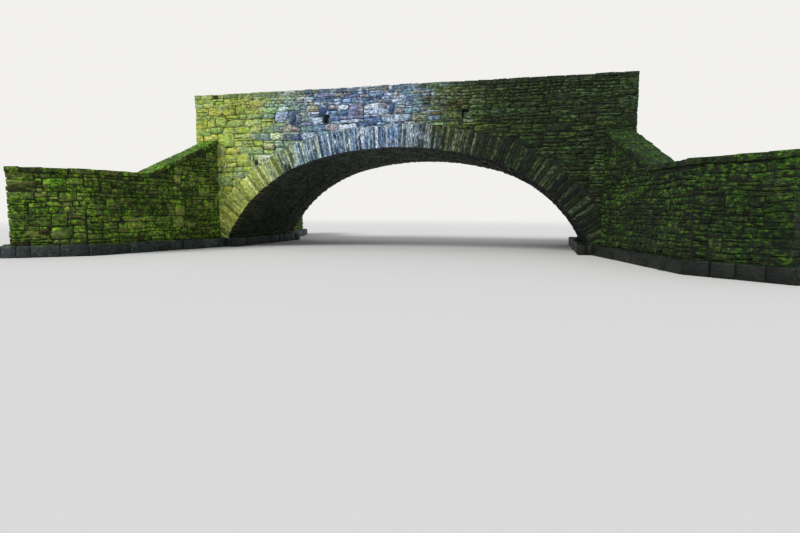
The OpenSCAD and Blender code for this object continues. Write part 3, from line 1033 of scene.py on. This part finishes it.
def soffit_stones(seed):
    """The vault from below: thin courses along the barrel, between the two rings."""
    rng = np.random.default_rng(seed)
    half_width = FACE_Y - RING_DEPTH + 0.04
    lines = beds(rng, (-HALF_ARC, HALF_ARC, 0.07, 0.15))
    quads = rubble(rng, -half_width, half_width, lines, ratio=(2.4, 6.5), longest=0.8,
                   jumpers=False)

    def place(u, v, h):
        x, z, _ = arch_points(v, -h)
        return np.stack([x, u, z], -1)
    heap = set_stones(rng, THIN_FORM, quads, place, (0.006, 0.032), joint=0.006)
    joined("soffit_stones", [heap], VAULT_STONE)


def footing_blocks(name, rng, runs, mirror):
    """Rough blocks round a footing. Each run has a start, an end, how far the blocks reach out
    and in, their shortest and longest, and how ragged their faces are."""
    rows = []
    for start, end, out, back, lengths, ragged in runs:
        rows += line_of_blocks(rng, (*start, 0), (*end, 0), out, back, 0.0, FOOTING_TOP + 0.015,
                               lengths, ragged=ragged)
    blocks = set_blocks(rng, BLOCK_FORM, rows, radius=0.03, roughness=0.016)
    joined(name, [blocks], FOOT_STONE, mirror)


def opening_side(sign_x, seed):
    """One side of the opening: the footing's blocks, also round its ends, the low course up to
    the springing, and a stone under each foot of the ring."""
    rng = np.random.default_rng(seed)
    mirror = (sign_x, 1)
    inner, outer = FOOTING_X - 0.03, root_corner(-WING_FOOT_OUT)[0] + 0.03
    runs = [((FOOTING_X, FACE_Y), (FOOTING_X, -FACE_Y), 0.036, 0.30, (0.25, 0.85), 0.018),
            ((inner, -FACE_Y), (outer, -FACE_Y), 0.034, 0.25, (0.16, 0.30), 0.010),
            ((outer, FACE_Y), (inner, FACE_Y), 0.034, 0.25, (0.16, 0.30), 0.010)]
    footing_blocks("footing_blocks_" + SIDE[sign_x], rng, runs, mirror)
    quads = rubble(rng, -FACE_Y, FACE_Y, np.array([FOOTING_TOP, SPRINGING_Z]), ratio=(3, 7),
                   jumpers=False)
    heap = set_stones(rng, THIN_FORM, quads, wall_place((HALF_SPAN, 0), -AHEAD), (0.012, 0.028),
                      warp=0.0)
    joined("springing_course_" + SIDE[sign_x], [heap], VAULT_STONE, mirror)
    toe = WING_ROOT[0] + 0.05
    under_toe = SPRINGING_Z + (toe - HALF_SPAN) / math.tan(SPRINGING_ANGLE)
    front = np.array([[(HALF_SPAN, FOOTING_TOP), (toe, FOOTING_TOP), (toe, under_toe),
                       (HALF_SPAN, SPRINGING_Z)]])
    back = front[:, [1, 0, 3, 2]] * [-1, 1]
    heaps = [set_stones(rng, THIN_FORM, quad, wall_place((0, side * FACE_Y), -side * RIGHT),
                        (0.014, 0.022), warp=0.0) for quad, side in ((front, -1), (back, 1))]
    joined("ring_foot_stones_" + SIDE[sign_x], heaps, FACE_STONE, mirror)


def plain_face(name, seed, bands, limit, place, kept):
    """Plain rubble of a face from -limit to limit."""
    rng = np.random.default_rng(seed)
    quads = rubble(rng, -limit, limit, beds(rng, *bands), kept=kept)
    heap = set_stones(rng, WALL_FORM, quads, place, (0.008, 0.026))
    joined(name, [heap], FACE_STONE)


def end_wall(sign_x, stacks, seed):
    """Rubble of one end of the bridge, up to the road."""
    kept = end_spaces(stacks[sign_x, -sign_x]["end"], stacks[sign_x, sign_x]["end"], FACE_Y)
    plain_face("end_stones_" + SIDE[sign_x], seed, [(0.0, PARAPET_FOOT, 0.14, 0.27)], FACE_Y,
               wall_place((sign_x * END_X, 0), sign_x * AHEAD), kept)


def parapet_inside(name, side, stacks, seed):
    """Rubble of a parapet towards the road."""
    kept = drain_spaces() + end_spaces(stacks[-side, side]["inner"],
                                       stacks[side, side]["inner"], END_X)
    bands = [(PARAPET_FOOT + ROAD_EDGE - 0.01, THIN_COURSES, 0.12, 0.22),
             (THIN_COURSES, PARAPET_TOP, 0.07, 0.12)]
    plain_face(name, seed, bands, END_X,
               wall_place((0, side * (FACE_Y - PARAPET_THICK)), side * RIGHT), kept)


def parapet_coping(name, side, seed):
    """Flat slabs on top of a parapet, none of them quite as thick as the next."""
    rng = np.random.default_rng(seed)
    over = COPING_OVER + 0.012
    reach = END_X + over
    stops = -reach + 2 * reach * np.array([0, 0.13, 0.22, 0.35, 0.47, 0.60, 0.71, 0.86, 1.0])
    rows = []
    for i, (x0, x1) in enumerate(zip(stops[:-1], stops[1:])):
        split = COPING_THICK * between(rng, 0.42, 0.58)
        layers = [(-0.004, COPING_THICK + 0.012)]
        if i % 2:
            layers = [(-0.004, split - 0.003), (split + 0.003, COPING_THICK + 0.012)]
        for low, high in layers:
            rows += line_of_blocks(rng, (x0, -FACE_Y, PARAPET_TOP), (x1, -FACE_Y, PARAPET_TOP),
                                   over, PARAPET_THICK + over, low, high, (0.16, 0.52),
                                   joint=0.012, ragged=0.014)
    heap = set_blocks(rng, BLOCK_FORM, rows, radius=0.014, roughness=0.010)
    joined(name, [heap], COPING_SLATE, (1, -side))


# Wing walls, all worked out as the right front one

def along(angle):
    """The heading of a wall that is turned outwards from the face's own square by an angle."""
    return np.array([math.sin(angle), -math.cos(angle)])


def outward(angle):
    """The way that wall's far side lies."""
    return np.array([math.cos(angle), math.sin(angle)])


BEND = WING_ROOT + WING_LENGTH * along(WING_ANGLE)
# How far the coping slabs stand out on either side
WING_SLAB_OUT = 0.054


def root_corner(off):
    """Where the wing's face, moved out by off, starts at the bridge."""
    return WING_ROOT + np.array([off / math.cos(WING_ANGLE), 0])


def bend_corner(off):
    """Where the moved faces of the wing and its return meet."""
    n, m = outward(WING_ANGLE), outward(RETURN_ANGLE)
    return BEND + off * (n + m) / (1 + n @ m)


def end_corner(off, beyond=0.0):
    """Where the moved face of the return ends, or goes on to beyond its end."""
    return BEND + (RETURN_LENGTH + beyond) * along(RETURN_ANGLE) + off * outward(RETURN_ANGLE)


def wing_top(s):
    """Height of the wing wall at a distance from its root."""
    return np.maximum(WING_LOW, WING_HIGH - (WING_HIGH - WING_LOW) / WING_RAKE * s)


def wing(sign_x, sign_y, seed):
    """Rubble, coping slabs and footing blocks of one wing wall and its return."""
    rng = np.random.default_rng(seed)
    name = ("front_" if sign_y > 0 else "back_") + SIDE[sign_x]
    mirror = (sign_x, sign_y)
    down, out, over = along(WING_ANGLE), along(RETURN_ANGLE), outward(RETURN_ANGLE)
    far_bend, far_root = bend_corner(WING_THICK), root_corner(WING_THICK)
    far_reach = np.linalg.norm(far_bend - far_root)
    far_low = (far_bend - WING_ROOT) @ down
    return_far = np.linalg.norm(end_corner(WING_THICK) - far_bend)
    ends, near, far = wall_end(rng, end_corner(0), -out, over, WING_THICK, FOOTING_TOP, WING_LOW)
    near = [(RETURN_LENGTH - length, RETURN_LENGTH, z0, z1) for length, z0, z1 in near]
    far = [(0.0, length, z0, z1) for length, z0, z1 in far]

    def level(u):
        return WING_LOW + 0 * u

    def face(start, heading, reach, top, kept=()):
        """Rubble of one side, cut off under a top that may slope."""
        high = float(np.max(top(np.array([0.0, reach]))))
        quads = rubble(rng, 0.0, reach, beds(rng, (FOOTING_TOP, high, 0.08, 0.19)), kept=kept)
        middle = quads.mean(1)
        quads = quads[middle[:, 1] < top(middle[:, 0]) - 0.03]
        return set_stones(rng, WALL_FORM, quads, wall_place(start, heading), (0.010, 0.036),
                          shape=lambda u, v: (u, np.minimum(v, top(u) - 0.008)))

    heaps = [
        face(WING_ROOT, down, WING_LENGTH, wing_top),
        face(BEND, out, RETURN_LENGTH, level, near),
        face(end_corner(WING_THICK), -out, return_far, level, far),
        face(far_bend, -down, far_reach, lambda u: wing_top(far_low - u)),
        set_blocks(rng, BLOCK_FORM, ends, radius=0.02, roughness=0.014),
    ]
    joined("wing_stones_" + name, heaps, WING_STONE, mirror)

    turn = WING_ROOT + WING_RAKE * down
    half = along((WING_ANGLE + RETURN_ANGLE) / 2) * 0.17
    slabs = []
    for start, end, high in ((WING_ROOT, turn, WING_HIGH), (turn, BEND, WING_LOW),
                             (BEND - half, BEND + half, WING_LOW),
                             (BEND, end_corner(0, 0.05), WING_LOW)):
        slabs += line_of_blocks(rng, (*start, high), (*end, WING_LOW), WING_SLAB_OUT,
                                WING_THICK + WING_SLAB_OUT, -0.004, WING_COPING + 0.014,
                                (0.30, 0.62), ragged=0.014)
    heap = set_blocks(rng, BLOCK_FORM, slabs, radius=0.016, roughness=0.012)
    joined("wing_coping_slabs_" + name, [heap], WING_STONE, mirror)

    near_side, far_side = -WING_FOOT_OUT, WING_THICK + WING_FOOT_OUT
    corners = [root_corner(near_side), bend_corner(near_side), end_corner(near_side, WING_FOOT_OUT),
               end_corner(far_side, WING_FOOT_OUT), bend_corner(far_side), root_corner(far_side)]
    runs = [(start, end, 0.034, 0.22, (0.22, 0.75), 0.018)
            for start, end in zip(corners[:-1], corners[1:])]
    footing_blocks("wing_footing_blocks_" + name, rng, runs, mirror)


# The road

# Half the width of a wheel track, and the share of its loose stones that wheels throw out
TRACK_HALF_WIDTH = 0.24
SWEPT = 0.82


def road_stones(count, seed):
    """Loose stones of 15 to 45 mm on the road, fewest in the wheel tracks: icosahedra,
    flattened and turned, half sunk in the surface that falls from the middle to each side."""
    rng = np.random.default_rng(seed)
    golden = (1 + 5 ** 0.5) / 2
    base = np.array([(0, a, b * golden) for a in (-1, 1) for b in (-1, 1)])
    ball = np.concatenate([np.roll(base, shift, 1) for shift in range(3)]) / 1.9
    gaps = np.linalg.norm(ball[:, None] - ball[None], axis=-1)
    touching = (gaps > 0) & (gaps < 1.2)
    faces = [f for f in itertools.combinations(range(12), 3)
             if touching[f[0], f[1]] and touching[f[1], f[2]] and touching[f[0], f[2]]]
    faces = np.array([f if np.linalg.det(ball[list(f)]) > 0 else f[::-1] for f in faces])
    form = {"corners": faces.ravel(), "counts": np.full(len(faces), 3), "verts": 12, "smooth": 0}
    kerb = FACE_Y - PARAPET_THICK
    y = between(rng, 0.04 - kerb, kerb - 0.04, 3 * count)
    in_track = np.abs(np.abs(y) - WHEEL_TRACK) < TRACK_HALF_WIDTH
    y = y[rng.random(len(y)) > SWEPT * in_track][:count]
    x = between(rng, -END_X + 0.03, END_X - 0.03, len(y))
    z = PARAPET_FOOT + ROAD_EDGE + ROAD_CAMBER * (1 - np.abs(y) / kerb)
    size = between(rng, 0.008, 0.022, (len(y), 1, 1)) * [1.0, 0.8, 0.55]
    local = ball * size * between(rng, 0.75, 1.25, (len(y), 12, 1))
    turn = between(rng, 0, 2 * math.pi, (len(y), 1))
    spun = np.stack([local[..., 0] * np.cos(turn) - local[..., 1] * np.sin(turn),
                     local[..., 0] * np.sin(turn) + local[..., 1] * np.cos(turn),
                     local[..., 2]], -1)
    co = spun + np.stack([x, y, z + 0.002], -1)[:, None, :]
    heap = {"co": co, "rim": np.zeros(co.shape[:-1]), "painted_shade": np.zeros(co.shape[:-1]),
            "grain": co[:, form["corners"], :2], "form": form, "tint": rng.random(len(y)),
            "shift": np.zeros(len(y))}
    joined("road_stones", [heap], GRAVEL)


# All the pieces

stacks = {(x, y): corner_stacks(x, y, 50 + 2 * x + y) for x in (-1, 1) for y in (-1, 1)}
quoin_rng = np.random.default_rng(61)
quoin_heaps = [set_blocks(quoin_rng, BLOCK_FORM, stack["rows"], radius=0.014, roughness=0.009)
               for stack in stacks.values()]
joined("quoin_blocks", quoin_heaps, FACE_STONE)
face_stones("front_face_stones", -1, stacks, 11)
face_stones("back_face_stones", 1, stacks, 12)
ring_slabs("front_ring_slabs", -1, 21, LOST_SLABS)
ring_slabs("back_ring_slabs", 1, 22)
soffit_stones(31)
opening_side(-1, 32)
opening_side(1, 33)
end_wall(-1, stacks, 34)
end_wall(1, stacks, 35)
parapet_inside("front_parapet_inside", -1, stacks, 36)
parapet_inside("back_parapet_inside", 1, stacks, 37)
parapet_coping("front_coping_slabs", -1, 38)
parapet_coping("back_coping_slabs", 1, 39)
wing(-1, 1, 41)
wing(1, 1, 42)
wing(-1, -1, 43)
wing(1, -1, 44)
road_stones(2600, 45)

# The solids show between the stones. Each gets the first finish whose word is in its name.
FINISHES = {"wing": WING_MORTAR, "return": WING_MORTAR, "footing": WING_MORTAR,
            "arch_barrel": DARK_MORTAR, "arch_ring": RING_MORTAR, "roadway": GRAVEL, "": MORTAR}
for name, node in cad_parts.items():
    finish = next(made for word, made in FINISHES.items() if word in name)
    node.data.materials.clear()
    node.data.materials.append(finish)
